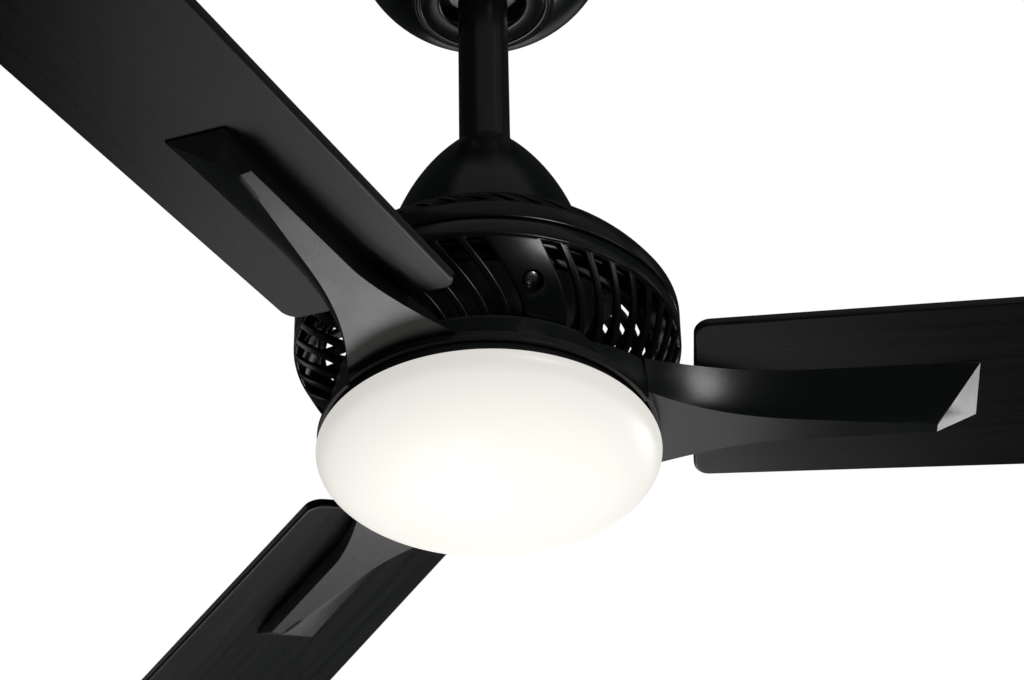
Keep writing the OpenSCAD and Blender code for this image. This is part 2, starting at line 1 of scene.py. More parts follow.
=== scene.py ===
import json
import math
import bmesh
import bpy
from mathutils import Matrix, Vector


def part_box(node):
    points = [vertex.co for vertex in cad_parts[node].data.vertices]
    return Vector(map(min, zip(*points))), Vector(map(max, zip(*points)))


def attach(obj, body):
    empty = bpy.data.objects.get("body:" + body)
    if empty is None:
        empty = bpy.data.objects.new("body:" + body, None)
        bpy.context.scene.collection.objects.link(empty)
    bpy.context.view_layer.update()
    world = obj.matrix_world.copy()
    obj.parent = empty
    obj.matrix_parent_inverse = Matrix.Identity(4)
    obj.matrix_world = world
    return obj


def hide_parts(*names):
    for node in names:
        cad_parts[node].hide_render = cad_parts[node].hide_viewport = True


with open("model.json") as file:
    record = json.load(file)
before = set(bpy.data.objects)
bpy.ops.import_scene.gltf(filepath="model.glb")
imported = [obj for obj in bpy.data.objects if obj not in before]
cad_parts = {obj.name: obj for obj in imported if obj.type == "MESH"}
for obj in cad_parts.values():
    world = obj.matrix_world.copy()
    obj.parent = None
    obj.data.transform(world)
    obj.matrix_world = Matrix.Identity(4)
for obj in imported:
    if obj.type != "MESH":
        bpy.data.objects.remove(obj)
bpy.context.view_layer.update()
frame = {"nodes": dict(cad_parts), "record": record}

# Ceiling fan with light: the finished look of every piece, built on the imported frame.
# Lengths are in metres and angles in degrees, unless a comment says otherwise.
# Heights "over the rim" count up from the rim of the light.
MM = 0.001

# ---------- Places taken from the frame ----------
lamp_low, lamp_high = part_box("diffuser")
band_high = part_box("lower_housing")[1]
crown_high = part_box("upper_housing")[1]
cover_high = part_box("coupling_cover")[1]
canopy_low, canopy_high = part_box("canopy")
rod_low, rod_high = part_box("downrod")
lead_low, lead_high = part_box("lead_bundle")

NECK_H = 4.8 * MM
RIM_Z = lamp_high.z - NECK_H
LAMP_R = lamp_high.x
LAMP_DEPTH = RIM_Z - lamp_low.z
BAND_R = band_high.x
SEAM_Z = band_high.z - RIM_Z
TOP_Z = crown_high.z - RIM_Z
COVER_R = cover_high.x
COVER_TOP_Z = cover_high.z - RIM_Z
CANOPY_R = canopy_high.x
CANOPY_Z = canopy_low.z - RIM_Z
CEILING_Z = -RIM_Z
ROD_R = rod_high.x

# ---------- Sizes of the arms, the hub ring and the blades ----------
ARM_AZ = -1.6
ARM_TIP_X = 238 * MM
FACET_X = 218 * MM
SEAM_AZ = -22
SEAM_GAP = 0.06
HUB_R = 83 * MM
HUB_IN_R = 80.6 * MM
HUB_TOP_R = 75.5 * MM
HUB_TOP_Z = 24 * MM
FLANGE_R = 42 * MM
FLANGE_Z = 13 * MM
FLYWHEEL_Z = 17 * MM
BOLT_R = 50 * MM
UNDER_Z = 7.2 * MM
UNDER_RISE = 0.03
UNDER_TILT = -0.0115
# How hollow the arm's side slope is, and how hollow the walls of arm and hub are
SLOPE_CURVE = 1.2
WALL_CURVE = 0.62
# The arms stay this many degrees clear of the hub's seam
SEAM_CLEAR = 0.7
# Steps between an arm's lengthwise lines, over its slope, underside, wall and top
SLOPE_STEPS, UNDER_STEPS, WALL_STEPS, TOP_STEPS = 10, 6, 6, 5
# (azimuth, value) stops along the hub's third, where the next arm's root is laid over it:
# its share of the wall's height, and the radius and height of its top edge
ROOT_SHARE = (
    (67, 1), (69.9, 0.68), (72.7, 0.49), (74.5, 0.34),
    (78.8, 0.24), (85, 0.18), (92, 0.10), (98, 0),
)
ROOT_TOP_R = ((68, HUB_TOP_R), (71, 76 * MM), (83, 77.8 * MM), (98, 80.4 * MM))
ROOT_TOP_Z = ((67.5, HUB_TOP_Z), (70, 21.2 * MM), (72, 20.9 * MM), (83, 24 * MM), (98, 29 * MM))
BLADE_Z = 22 * MM
BLADE_T = 4.8 * MM
BLADE_PITCH = 12.2
BLADE_RISE = 1.33
BLADE_HOLES = (120 * MM, 165 * MM, 208 * MM)

# ---------- Sizes of the motor housing ----------
# The lower shell is an arc of SHELL_ARC_R about the point (SHELL_ARC_IN, SHELL_ARC_Z)
SHELL_WALL = 2.5 * MM
SHELL_ARC_R = 70 * MM
SHELL_ARC_IN = 30 * MM
SHELL_ARC_Z = 83 * MM
MOUTH_R = 60 * MM
BAND_Z = 57 * MM
BAND_TOP_Z = 77 * MM
CROWN_TOP_R = 54 * MM
CROWN_FOOT_R = 95 * MM
CROWN_BULGE = 4.8 * MM
# The ribs between the lower vents reach in to a second arc, or to RIB_DEEP
RIB_ARC_R = 33.2 * MM
RIB_ARC_AT = (60.6 * MM, 66.8 * MM)
RIB_DEEP = 12 * MM
# Each third of a shell has VENTS vents, and a plain boss BOSS_W wide that starts at BOSS_AZ
VENTS = 13
VENT_PITCH = 8.15
VENT_OPEN = 5.22
CROWN_OPEN = 3.5
CROWN_VENT_R = (70 * MM, 94.7 * MM)
# A vent's edge runs back by VENT_TWIST from TWIST_FROM, over a run of TWIST_RUN (both in mm)
VENT_TWIST = 16
TWIST_FROM = 66
TWIST_RUN = 28.5
TWIST_CURVE = 1.8
BOSS_AZ = -90.8
BOSS_W = 120 - VENTS * VENT_PITCH + (VENT_PITCH - VENT_OPEN)
SCREW_AZ = -75.1
SCREW_R = 84.4 * MM
SCREW_Z = 39 * MM
SCREW_TILT = 60
POCKET_R = 5.3 * MM
POCKET_DEEP = 5 * MM


# ---------- Shapes ----------
def rad(degrees):
    return math.radians(degrees)


def polar(r, az, z):
    """A point at radius r, azimuth az in degrees and height z over the rim, in the row frame."""
    return Vector((r * math.cos(rad(az)), r * math.sin(rad(az)), z + RIM_Z))


def turned(az):
    return Matrix.Rotation(rad(az), 4, "Z")


def arc(p, q, bulge, n, inset=0):
    """Points of a circular arc from p to q that bulges to the left, moved in by inset."""
    p, q = Vector(p), Vector(q)
    half = (q - p).length / 2
    radius = (half * half + bulge * bulge) / (2 * bulge)
    left = Vector((p.y - q.y, q.x - p.x)).normalized()
    centre = (p + q) / 2 + left * (bulge - radius)
    start = math.atan2(p.y - centre.y, p.x - centre.x)
    turn = -2 * math.asin(half / radius)
    angles = [start + turn * i / n for i in range(n + 1)]
    return [centre + (radius - inset) * Vector((math.cos(a), math.sin(a))) for a in angles]


def new_mesh(name, verts, faces):
    mesh = bpy.data.meshes.new(name)
    mesh.from_pydata([tuple(v) for v in verts], [], faces)
    bm = bmesh.new()
    bm.from_mesh(mesh)
    bmesh.ops.remove_doubles(bm, verts=bm.verts, dist=1e-6)
    bmesh.ops.recalc_face_normals(bm, faces=bm.faces)
    bm.to_mesh(mesh)
    bm.free()
    return mesh


def join(*parts):
    """Several (verts, faces) pairs as one pair."""
    verts, faces = [], []
    for v, f in parts:
        base = len(verts)
        verts += list(v)
        faces += [tuple(i + base for i in face) for face in f]
    return verts, faces


def moved(part, matrix):
    return [matrix @ Vector(v) for v in part[0]], part[1]


def loft(rings, closed=False):
    """Joins rings of the same number of points into a closed skin, with flat ends."""
    n, rows = len(rings[0]), len(rings)
    verts = [v for ring in rings for v in ring]
    faces = []
    for j in range(rows if closed else rows - 1):
        a, b = j * n, ((j + 1) % rows) * n
        for i in range(n):
            k = (i + 1) % n
            faces.append((a + i, a + k, b + k, b + i))
    if not closed:
        faces.append(tuple(range(n)))
        faces.append(tuple((rows - 1) * n + i for i in range(n)))
    return verts, faces


def lathe(profile, steps=144, start=0, turn=360):
    """Turns a closed outline of (radius, height over the rim) points around the axis."""
    whole = turn == 360
    count = steps if whole else steps + 1
    rings = [[polar(p[0], start + turn * j / steps, p[1]) for p in profile] for j in range(count)]
    return loft(rings, closed=whole)


def tube(points, radius, sides=16, closed=False):
    """A round bar along a list of points."""
    n = len(points)
    rings, side = [], None
    for i, p in enumerate(points):
        ahead = points[(i + 1) % n] if closed or i < n - 1 else p
        behind = points[i - 1] if closed or i > 0 else p
        along = (ahead - behind).normalized()
        if side is None:
            side = along.orthogonal().normalized()
        side = (side - along * side.dot(along)).normalized()
        other = along.cross(side)
        ring = []
        for k in range(sides):
            a = 2 * math.pi * k / sides
            ring.append(p + radius * (side * math.cos(a) + other * math.sin(a)))
        rings.append(ring)
    return loft(rings, closed)


def settle(obj):
    """Applies an object's modifiers to its mesh."""
    bpy.context.view_layer.update()
    graph = bpy.context.evaluated_depsgraph_get()
    mesh = bpy.data.meshes.new_from_object(obj.evaluated_get(graph))
    obj.modifiers.clear()
    old = obj.data
    obj.data = mesh
    bpy.data.meshes.remove(old)


def temporary(name, part):
    obj = bpy.data.objects.new(name, new_mesh(name, *part))
    bpy.context.scene.collection.objects.link(obj)
    return obj


def discard(obj):
    mesh = obj.data
    bpy.data.objects.remove(obj)
    bpy.data.meshes.remove(mesh)


def taken(obj):
    """The (verts, faces) pair of a temporary object, which is then discarded."""
    mesh = obj.data
    part = [v.co.copy() for v in mesh.vertices], [tuple(p.vertices) for p in mesh.polygons]
    discard(obj)
    return part


def cut(obj, part):
    """Cuts a closed shape out of an object's mesh."""
    cutter = temporary("cutter", part)
    mod = obj.modifiers.new("cut", "BOOLEAN")
    mod.operation = "DIFFERENCE"
    mod.solver = "EXACT"
    mod.object = cutter
    settle(obj)
    discard(cutter)


def bevel(obj, width, segments=3, angle=35):
    mod = obj.modifiers.new("edges", "BEVEL")
    mod.width = width
    mod.segments = segments
    mod.limit_method = "ANGLE"
    mod.angle_limit = rad(angle)


def piece(name, part, body, slot, nodes=(), edge=0, segments=3, angle=35, place=None):
    """Adds a finished piece that rides on a body and stands for the CAD nodes named."""
    mesh = part if isinstance(part, bpy.types.Mesh) else new_mesh(name, *part)
    obj = bpy.data.objects.new(name, mesh)
    bpy.context.scene.collection.objects.link(obj)
    if place is not None:
        obj.matrix_world = place
    mesh.materials.clear()
    mesh.materials.append(MATERIALS[slot])
    mesh.shade_smooth()
    mesh.set_sharp_from_angle(angle=rad(angle))
    if edge:
        bevel(obj, edge, segments, angle)
    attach(obj, body)
    if nodes:
        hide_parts(*nodes)
    return obj


# ---------- Materials ----------
def material(name, color, roughness, metallic=0.0):
    mat = bpy.data.materials.new(name)
    mat.use_nodes = True
    shader = shader_of(mat)
    shader.inputs["Base Color"].default_value = (*color, 1)
    shader.inputs["Roughness"].default_value = roughness
    shader.inputs["Metallic"].default_value = metallic
    return mat


def shader_of(mat):
    return mat.node_tree.nodes["Principled BSDF"]


def wire(mat, source, target, socket):
    mat.node_tree.links.new(source, target.inputs[socket])


def place_of(mat, scale=(1, 1, 1)):
    """Object coordinates, stretched by scale."""
    coord = mat.node_tree.nodes.new("ShaderNodeTexCoord")
    mapping = mat.node_tree.nodes.new("ShaderNodeMapping")
    mapping.inputs["Scale"].default_value = scale
    wire(mat, coord.outputs["Object"], mapping, "Vector")
    return mapping.outputs["Vector"]


def noise(mat, scale, detail=2.0, stretch=(1, 1, 1), roughness=0.5):
    tex = mat.node_tree.nodes.new("ShaderNodeTexNoise")
    tex.inputs["Scale"].default_value = scale
    tex.inputs["Detail"].default_value = detail
    tex.inputs["Roughness"].default_value = roughness
    wire(mat, place_of(mat, stretch), tex, "Vector")
    return tex.outputs["Fac"]


def spread(mat, value, low, high):
    """Maps a noise, which lies mostly between 0.3 and 0.7, onto low to high."""
    made = mat.node_tree.nodes.new("ShaderNodeMapRange")
    made.inputs["From Min"].default_value = 0.3
    made.inputs["From Max"].default_value = 0.7
    made.inputs["To Min"].default_value = low
    made.inputs["To Max"].default_value = high
    wire(mat, value, made, "Value")
    return made.outputs["Result"]


def ramp(mat, value, stops, smooth="LINEAR"):
    """A colour ramp with (position, colour) stops."""
    made = mat.node_tree.nodes.new("ShaderNodeValToRGB")
    made.color_ramp.interpolation = smooth
    elements = made.color_ramp.elements
    while len(elements) < len(stops):
        elements.new(0.5)
    for element, (position, color) in zip(elements, stops):
        element.position = position
        element.color = (*color, 1)
    wire(mat, value, made, "Fac")
    return made.outputs["Color"]


def tint(mat, value, dark, light):
    return ramp(mat, value, [(0.3, dark), (0.7, light)])


def bumpy(mat, height, strength, distance):
    bump = mat.node_tree.nodes.new("ShaderNodeBump")
    bump.inputs["Strength"].default_value = strength
    bump.inputs["Distance"].default_value = distance
    wire(mat, height, bump, "Height")
    wire(mat, bump.outputs["Normal"], shader_of(mat), "Normal")


def painted_edge_highlight(mat, color, light):
    """Paints a highlight: lightens a paint a little on convex edges, where light catches them."""
    geometry = mat.node_tree.nodes.new("ShaderNodeNewGeometry")
    edges = ramp(mat, geometry.outputs["Pointiness"], [(0.53, (0, 0, 0)), (0.65, (1, 1, 1))])
    mix = mat.node_tree.nodes.new("ShaderNodeMix")
    mix.data_type = "RGBA"
    # The Mix node's sockets for colours have no names of their own
    factor, color_a, color_b, result = 0, 6, 7, 2
    mix.inputs[color_b].default_value = (*light, 1)
    wire(mat, edges, mix, factor)
    wire(mat, color, mix, color_a)
    return mix.outputs[result]


def black_paint():
    mat = material("black_paint", (0.005, 0.006, 0.006), 0.23)
    broad = noise(mat, 28, 3)
    wire(mat, spread(mat, broad, 0.21, 0.26), shader_of(mat), "Roughness")
    color = tint(mat, broad, (0.0038, 0.0046, 0.0046), (0.0056, 0.0066, 0.0066))
    # Painted highlight: convex edges get a lighter colour than the rest of the paint
    wire(mat, painted_edge_highlight(mat, color, (0.016, 0.017, 0.017)), shader_of(mat), "Base Color")
    bumpy(mat, noise(mat, 900, 2), 0.10, 0.12 * MM)
    return mat


def cast_black():
    mat = material("cast_black", (0.008, 0.009, 0.009), 0.27)
    wire(mat, spread(mat, noise(mat, 35, 3), 0.25, 0.31), shader_of(mat), "Roughness")
    color = tint(mat, noise(mat, 1100, 2), (0.0062, 0.0074, 0.0074), (0.0105, 0.0118, 0.0118))
    # Painted highlight: convex edges get a lighter colour than the rest of the casting
    wire(mat, painted_edge_highlight(mat, color, (0.025, 0.027, 0.027)), shader_of(mat), "Base Color")
    bumpy(mat, noise(mat, 1500, 3), 0.16, 0.15 * MM)
    return mat


def blade_black():
    """Black stained wood; the grain runs along x of the blade's own frame."""
    mat = material("blade_black", (0.011, 0.012, 0.012), 0.32)
    pores = noise(mat, 700, 3, stretch=(0.035, 1, 1), roughness=0.6)
    streaks = noise(mat, 160, 4, stretch=(0.02, 1, 1), roughness=0.65)
    wire(mat, spread(mat, streaks, 0.25, 0.33), shader_of(mat), "Roughness")
    color = tint(mat, pores, (0.0045, 0.0052, 0.0052), (0.0105, 0.0116, 0.0116))
    wire(mat, color, shader_of(mat), "Base Color")
    both = mat.node_tree.nodes.new("ShaderNodeMath")
    both.operation = "ADD"
    wire(mat, pores, both, 0)
    wire(mat, streaks, both, 1)
    bumpy(mat, both.outputs["Value"], 0.20, 0.15 * MM)
    return mat


def opal():
    """Opal plastic lit from inside, brightest under the LED board."""
    mat = material("opal", (0.40, 0.395, 0.38), 0.36)
    shader = shader_of(mat)
    length = mat.node_tree.nodes.new("ShaderNodeVectorMath")
    length.operation = "LENGTH"
    wire(mat, place_of(mat, (1 / LAMP_R, 1 / LAMP_R, 0)), length, 0)
    glow = [
        (0.30, (0.85, 0.84, 0.75)),
        (0.70, (0.82, 0.80, 0.735)),
        (0.93, (0.76, 0.735, 0.685)),
        (1.00, (0.58, 0.56, 0.53)),
    ]
    wire(mat, ramp(mat, length.outputs["Value"], glow, "B_SPLINE"), shader, "Emission Color")
    shader.inputs["Emission Strength"].default_value = 1.0
    wire(mat, spread(mat, noise(mat, 60, 2), 0.34, 0.39), shader, "Roughness")
    bumpy(mat, noise(mat, 500, 2), 0.04, 0.1 * MM)
    return mat


def brushed(name, color, roughness, scale=400, stretch=(1, 1, 0.08), scratched=True):
    """Bare metal with fine lines; scratched adds them to the surface as well."""
    mat = material(name, color, roughness, 1.0)
    lines = noise(mat, scale, 3, stretch=stretch)
    wire(mat, spread(mat, lines, roughness - 0.07, roughness + 0.09), shader_of(mat), "Roughness")
    dark = [c * 0.82 for c in color]
    wire(mat, tint(mat, noise(mat, 60, 3), dark, color), shader_of(mat), "Base Color")
    if scratched:
        bumpy(mat, lines, 0.12, 0.1 * MM)
    return mat


def moulded(name, color, roughness):
    mat = material(name, color, roughness)
    dark = [c * 0.88 for c in color]
    wire(mat, tint(mat, noise(mat, 90, 3), dark, color), shader_of(mat), "Base Color")
    mottle = noise(mat, 50, 2)
    wire(mat, spread(mat, mottle, roughness - 0.05, roughness + 0.07), shader_of(mat), "Roughness")
    bumpy(mat, noise(mat, 1200, 2), 0.10, 0.1 * MM)
    return mat


def striped(name, color, roughness, pitch, wobble):
    """Metal in thin stacked layers or turns, pitch apart."""
    mat = brushed(name, color, roughness, scratched=False)
    wave_length = 0.314
    wave = mat.node_tree.nodes.new("ShaderNodeTexWave")
    wave.bands_direction = "Z"
    wave.inputs["Scale"].default_value = wave_length / pitch
    wave.inputs["Distortion"].default_value = wobble
    wire(mat, place_of(mat), wave, "Vector")
    bumpy(mat, wave.outputs["Fac"], 0.5, 0.25 * MM)
    return mat


MATERIALS = {
    "black_paint": black_paint(),
    "cast_black": cast_black(),
    "blade_black": blade_black(),
    "opal": opal(),
    "plated_steel": brushed("plated_steel", (0.60, 0.61, 0.60), 0.28),
    "raw_aluminium": brushed("raw_aluminium", (0.58, 0.59, 0.59), 0.42, 250, (1, 1, 1)),
    "silicon_steel": striped("silicon_steel", (0.32, 0.33, 0.33), 0.42, 1 * MM, 0.2),
    "copper": striped("copper", (0.62, 0.27, 0.11), 0.32, 1.2 * MM, 1.5),
    "magnet": moulded("magnet", (0.10, 0.105, 0.105), 0.55),
    "bearing_steel": brushed("bearing_steel", (0.68, 0.69, 0.68), 0.18),
    "ball_plastic": moulded("ball_plastic", (0.72, 0.71, 0.67), 0.40),
    "board_white": moulded("board_white", (0.80, 0.80, 0.78), 0.35),
    "driver_case": moulded("driver_case", (0.72, 0.71, 0.67), 0.45),
    "led_phosphor": moulded("led_phosphor", (0.85, 0.68, 0.22), 0.30),
    "lead_sheath": moulded("lead_sheath", (0.20, 0.03, 0.025), 0.45),
}
LEAD_COLORS = {
    "black": moulded("lead_black", (0.012, 0.012, 0.012), 0.40),
    "white": moulded("lead_white", (0.70, 0.69, 0.66), 0.42),
    "green": moulded("lead_green", (0.02, 0.16, 0.05), 0.42),
}


# ---------- Screws ----------
def screw_shape(shank_r, length, head_r, head_h):
    """A domed Phillips screw with its head's seat at z = 0, pointing along +z."""
    turns = 28
    dome = [
        (head_r * math.sin(rad(a)), -head_h * (0.3 + 0.7 * math.cos(rad(a))))
        for a in (0, 22, 45, 68)
    ]
    outline = dome + [(head_r, -head_h * 0.3), (head_r, 0), (shank_r, 0)]
    pitch = shank_r * 0.5
    for i in range(int((length - shank_r) / pitch)):
        outline += [(shank_r, pitch * (i + 0.25)), (shank_r * 0.84, pitch * (i + 0.75))]
    outline += [(shank_r * 0.8, length - shank_r * 0.6), (0, length)]
    rings = []
    for j in range(turns):
        spin = turned(360 * j / turns)
        rings.append([spin @ Vector((r, 0, z)) for r, z in outline])
    obj = temporary("screw", loft(rings, closed=True))
    wide, thin, deep = head_r * 0.62, head_r * 0.14, head_h * 0.62
    for a in (0, 90):
        slab = []
        for z, share in ((-head_h * 1.2, 1.0), (deep - head_h, 0.45)):
            w = wide * share
            corners = ((-w, -thin), (w, -thin), (w, thin), (-w, thin))
            slab.append([turned(a) @ Vector((x, y, z)) for x, y in corners])
        cut(obj, loft(slab))
    return taken(obj)


def screws(name, body, slot, node, shape, places):
    """Adds copies of one screw shape, at the places named, as one piece."""
    piece(name, join(*[moved(shape, m) for m in places]), body, slot, [node], angle=30)


# ---------- Motor housing ----------
def twist_at(r):
    """Azimuth of a vent's edge against its place at the band, at radius r."""
    share = max(0, min(1, (r / MM - TWIST_FROM) / TWIST_RUN))
    return VENT_TWIST * (1 - share ** TWIST_CURVE)


def vent_columns(width):
    """Offsets across one third of the shell, each with whether a vent follows it."""
    inset = (VENT_OPEN - width) / 2
    boss, rib = BOSS_W + 2 * inset, VENT_PITCH - width
    on_boss, on_rib = 10, 3
    columns = [(boss * i / on_boss - inset, False) for i in range(on_boss)]
    for j in range(VENTS):
        start = BOSS_W + VENT_PITCH * j + inset
        columns += [(start + width * i / on_rib, True) for i in range(on_rib)]
        if j < VENTS - 1:
            columns += [(start + width + rib * i / on_rib, False) for i in range(on_rib)]
    return columns


def vented_shell(rows, width, mirror):
    """A thin shell with vents. Each row is (outer, inner, vented), with (radius, height) points."""
    columns = [(BOSS_AZ + 120 * k + a, vent) for k in range(3) for a, vent in vent_columns(width)]
    n, m = len(columns), len(rows)
    sign = -1 if mirror else 1
    verts = []
    for outer, inner, _ in rows:
        twist = twist_at(outer[0])
        for r, z in (outer, inner):
            verts += [polar(r, sign * (az + twist), z) for az, _ in columns]

    def at(row, side, column):
        return (2 * row + side) * n + column % n

    def solid(row, column):
        return 0 <= row < m - 1 and not (rows[row][2] and columns[column % n][1])

    faces = []
    for i in range(m - 1):
        for j in range(n):
            if not solid(i, j):
                continue
            for side in (0, 1):
                faces.append((
                    at(i, side, j), at(i, side, j + 1),
                    at(i + 1, side, j + 1), at(i + 1, side, j),
                ))
            borders = (
                (solid(i - 1, j), (i, j), (i, j + 1)),
                (solid(i + 1, j), (i + 1, j), (i + 1, j + 1)),
                (solid(i, j - 1), (i, j), (i + 1, j)),
                (solid(i, j + 1), (i, j + 1), (i + 1, j + 1)),
            )
            for joined, (row_a, col_a), (row_b, col_b) in borders:
                if not joined:
                    faces.append((
                        at(row_a, 0, col_a), at(row_b, 0, col_b),
                        at(row_b, 1, col_b), at(row_a, 1, col_a),
                    ))
    return verts, faces


def lower_rows():
    """Rows of the lower shell, from its mouth up to the seam. Angles are on the shell's arc."""
    mouth = math.degrees(math.asin((MOUTH_R - SHELL_ARC_IN) / SHELL_ARC_R))
    vent_low, vent_high, top = 31.4, 67.05, 68.0
    steps = 16

    def skin(angle):
        """Outer and inner point of the wall, or of a rib where there are vents."""
        s, c = math.sin(rad(angle)), math.cos(rad(angle))
        inner = SHELL_ARC_R - SHELL_WALL
        while inner > SHELL_ARC_R - RIB_DEEP:
            r, z = SHELL_ARC_IN + inner * s, SHELL_ARC_Z - inner * c
            if angle < vent_low or math.hypot(r - RIB_ARC_AT[0], z - RIB_ARC_AT[1]) < RIB_ARC_R:
                break
            inner -= 0.1 * MM
        return (
            (SHELL_ARC_IN + SHELL_ARC_R * s, SHELL_ARC_Z - SHELL_ARC_R * c),
            (SHELL_ARC_IN + inner * s, SHELL_ARC_Z - inner * c),
        )

    angles = [mouth, (mouth + vent_low) / 2]
    angles += [vent_low + (vent_high - vent_low) * i / steps for i in range(steps + 1)]
    rows = [(*skin(a), vent_low <= a < vent_high - 0.01) for a in angles + [top]]
    band_in = BAND_R - SHELL_WALL - 0.5 * MM
    rows += [
        ((BAND_R - 0.15 * MM, BAND_Z + 0.1 * MM), (band_in, BAND_Z + 1.2 * MM), False),
        ((BAND_R, BAND_Z + 0.8 * MM), (band_in, BAND_Z + 2 * MM), False),
        ((BAND_R, SEAM_Z - 0.6 * MM), (band_in, SEAM_Z - 1 * MM), False),
        ((BAND_R - 0.6 * MM, SEAM_Z), (band_in, SEAM_Z), False),
    ]
    return rows


def screw_frame(az):
    """Frame of a housing screw: z = 0 on the shell and +z into it."""
    tilt = Matrix.Rotation(rad(SCREW_TILT - 90), 4, "Y")
    return turned(az) @ Matrix.Translation((SCREW_R, 0, SCREW_Z + RIM_Z)) @ tilt


def pocket_cup(az):
    """The sunk cup around a housing screw, trimmed under the shell's outer skin."""
    place = screw_frame(az)
    turns = 48
    reach, under_skin = 12 * MM, 1.0 * MM

    def skin_depth(x, y):
        """Depth at which the line along the screw through (x, y) is just under the skin."""
        low, high = -reach, reach
        for _ in range(30):
            t = (low + high) / 2
            p = place @ Vector((x, y, t))
            out = math.hypot(math.hypot(p.x, p.y) - SHELL_ARC_IN, p.z - RIM_Z - SHELL_ARC_Z)
            if out > SHELL_ARC_R - under_skin:
                low = t
            else:
                high = t
        return low

    rings = []
    outer_r, hole_r, floor_t, soft = POCKET_R + 2 * MM, 2 * MM, 1.6 * MM, 0.6 * MM
    bottom = POCKET_DEEP + floor_t
    for j in range(turns):
        c, s = math.cos(2 * math.pi * j / turns), math.sin(2 * math.pi * j / turns)
        outline = [
            (POCKET_R, skin_depth(POCKET_R * c, POCKET_R * s)),
            (POCKET_R, POCKET_DEEP - soft),
            (POCKET_R - soft, POCKET_DEEP),
            (hole_r, POCKET_DEEP),
            (hole_r, bottom),
            (outer_r, bottom),
            (outer_r, skin_depth(outer_r * c, outer_r * s)),
        ]
        rings.append([place @ Vector((r * c, r * s, t)) for r, t in outline])
    return loft(rings, closed=True)


def thirds(az):
    return [az + 120 * k for k in range(3)]


def lower_shell():
    shell = temporary("lower", vented_shell(lower_rows(), VENT_OPEN, mirror=False))
    bevel(shell, 0.85 * MM, 3, 50)
    settle(shell)
    for az in thirds(SCREW_AZ):
        ends = [screw_frame(az) @ Vector((0, 0, t)) for t in (-15 * MM, 15 * MM)]
        cut(shell, tube(ends, POCKET_R, 48))
    bm = bmesh.new()
    bm.from_mesh(shell.data)
    for az in thirds(SCREW_AZ):
        verts, faces = pocket_cup(az)
        made = [bm.verts.new(v) for v in verts]
        for face in faces:
            bm.faces.new([made[i] for i in face])
    bmesh.ops.recalc_face_normals(bm, faces=bm.faces)
    mesh = bpy.data.meshes.new("housing_lower_shell")
    bm.to_mesh(mesh)
    bm.free()
    discard(shell)
    piece(
        "housing_lower_shell", mesh, "pendulum", "black_paint", ["lower_housing"],
        edge=0.3 * MM, segments=2, angle=50,
    )


def upper_rows():
    """Rows of the upper shell, from the seam up the band and over the crown."""
    wall = SHELL_WALL
    inside = BAND_R - wall
    rows = [
        ((BAND_R - 0.5 * MM, SEAM_Z + 1.7 * MM), (inside, SEAM_Z + 1.7 * MM), False),
        ((BAND_R, SEAM_Z + 2.1 * MM), (inside, SEAM_Z + 2.4 * MM), False),
        ((BAND_R, BAND_TOP_Z - 1.3 * MM), (inside, BAND_TOP_Z - 1.8 * MM), False),
        ((BAND_R - 0.2 * MM, BAND_TOP_Z - 0.6 * MM),
         (inside - 0.1 * MM, BAND_TOP_Z - 1.4 * MM), False),
    ]
    edge, top = (CROWN_FOOT_R, BAND_TOP_Z), (CROWN_TOP_R, TOP_Z)
    steps = 22
    outer = arc(top, edge, CROWN_BULGE, steps)
    inner = arc(top, edge, CROWN_BULGE, steps, wall)
    for p, q in reversed(list(zip(outer, inner))):
        rows.append(((p.x, p.y), (q.x, q.y), CROWN_VENT_R[0] < p.x < CROWN_VENT_R[1]))
    rows[-1] = ((CROWN_TOP_R, TOP_Z), (CROWN_TOP_R - 1 * MM, TOP_Z - wall), False)
    for r in (40 * MM, 20 * MM, 8.3 * MM):
        rows.append(((r, TOP_Z), (r, TOP_Z - 3.3 * MM), False))
    return rows


def upper_shell():
    shell = temporary("upper", vented_shell(upper_rows(), CROWN_OPEN, mirror=True))
    bevel(shell, 0.8 * MM, 3, 50)
    settle(shell)
    low = BAND_Z - 1.5 * MM
    spigot, ledge = BAND_R - 3.1 * MM, 80 * MM
    ring = lathe([
        (BAND_R - 2.4 * MM, SEAM_Z + 1.9 * MM), (BAND_R - 2.4 * MM, SEAM_Z), (spigot, SEAM_Z),
        (spigot, BAND_Z + 1 * MM), (spigot - 1.5 * MM, low), (ledge + 4 * MM, low),
        (ledge + 3.2 * MM, low - 2.6 * MM), (ledge + 2.8 * MM, low - 3 * MM),
        (ledge + 0.6 * MM, low - 3 * MM), (ledge, low - 2.4 * MM), (ledge, low + 1.8 * MM),
        (ledge + 0.5 * MM, low + 2.3 * MM), (spigot - 3 * MM, low + 2.3 * MM),
        (spigot - 2.5 * MM, low + 3.2 * MM), (spigot - 2.5 * MM, SEAM_Z + 1.9 * MM),
    ])
    posts = [
        tube([screw_frame(az) @ Vector((0, 0, t)) for t in (8.1 * MM, 19 * MM)], 5 * MM, 32)
        for az in thirds(SCREW_AZ)
    ]
    whole = join(taken(shell), ring, *posts)
    piece("housing_upper_shell", whole, "pendulum", "black_paint", ["upper_housing"], angle=50)


def housing():
    lower_shell()
    upper_shell()
    shape = screw_shape(1.8 * MM, 13 * MM, 3.6 * MM, 2.4 * MM)
    seat = Matrix.Translation((0, 0, POCKET_DEEP)) @ turned(20)
    places = [screw_frame(az) @ seat for az in thirds(SCREW_AZ)]
    screws("housing_screws_fine", "pendulum", "plated_steel", "housing_screws", shape, places)


# ---------- Arms ----------
def over_z(r, t):
    """Height of the blade's underside, r out along the arm and t sideways."""
    rise, pitch = rad(BLADE_RISE), rad(BLADE_PITCH)
    return BLADE_Z + r * math.tan(rise) - t * math.tan(pitch) / math.cos(rise)


